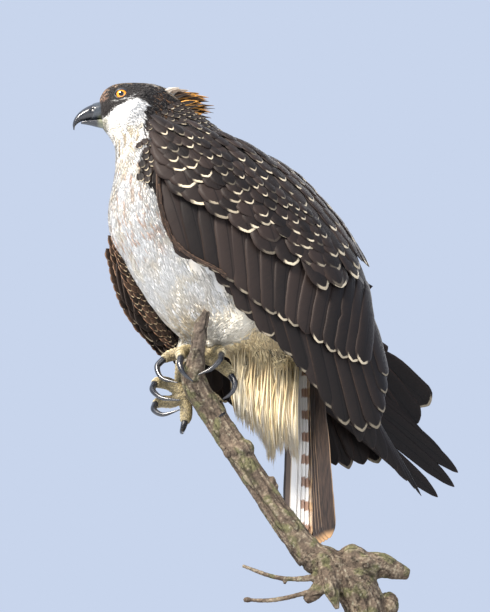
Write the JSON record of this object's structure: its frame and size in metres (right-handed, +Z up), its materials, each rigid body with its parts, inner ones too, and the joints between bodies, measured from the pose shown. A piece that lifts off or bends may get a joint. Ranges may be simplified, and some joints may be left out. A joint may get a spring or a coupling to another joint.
{
  "type": "life-size osprey model",
  "caption": "Life-size still model of a juvenile osprey gripping a cut length of branch, held over a flat base by one short rod.",
  "frame": {"origin": "centre of the stand base's underside", "axes": "+Z up; the bird faces mostly -X, its left side towards -Y"},
  "size_m": [0.4297, 0.246, 0.6626],
  "materials": {
    "dark_feather": "matte plumage, blackish brown with pale feather tips",
    "flight_feather": "matte flight feathers, blackish, paler barred inner webs",
    "white_feather": "soft matte white plumage with brown streaks on the breast",
    "buff_feather": "soft matte buff and white plumage",
    "horn": "glossy black horn of the bill and claws",
    "eye": "glossy orange-yellow eye with a black pupil",
    "scaly_skin": "matte grey-olive scaly skin",
    "bark": "rough dead bark, grey-brown with lichen",
    "stand_wood": "satin dark wood",
    "stand_steel": "satin steel"
  },
  "bodies": {
    "root": {"bill_lower": "horn", "bill_upper": "horn", "claw_left_1": "horn", "claw_left_2": "horn", "claw_left_3": "horn", "claw_left_4": "horn", "claw_right_1": "horn", "claw_right_2": "horn", "claw_right_3": "horn", "claw_right_4": "horn", "eye_left": "eye", "eye_right": "eye", "foot_left": "scaly_skin", "foot_right": "scaly_skin", "head": "white_feather", "neck": "white_feather", "perch_branch": "bark", "stand_base": "stand_wood", "stand_rod": "stand_steel", "tail": "flight_feather", "thigh_left": "white_feather", "thigh_right": "white_feather", "torso": "white_feather", "undertail_coverts": "buff_feather", "wing_left_coverts": "dark_feather", "wing_left_primaries": "flight_feather", "wing_left_secondaries": "flight_feather", "wing_right_coverts": "dark_feather", "wing_right_primaries": "flight_feather", "wing_right_secondaries": "flight_feather"}
  },
  "joints": []
}
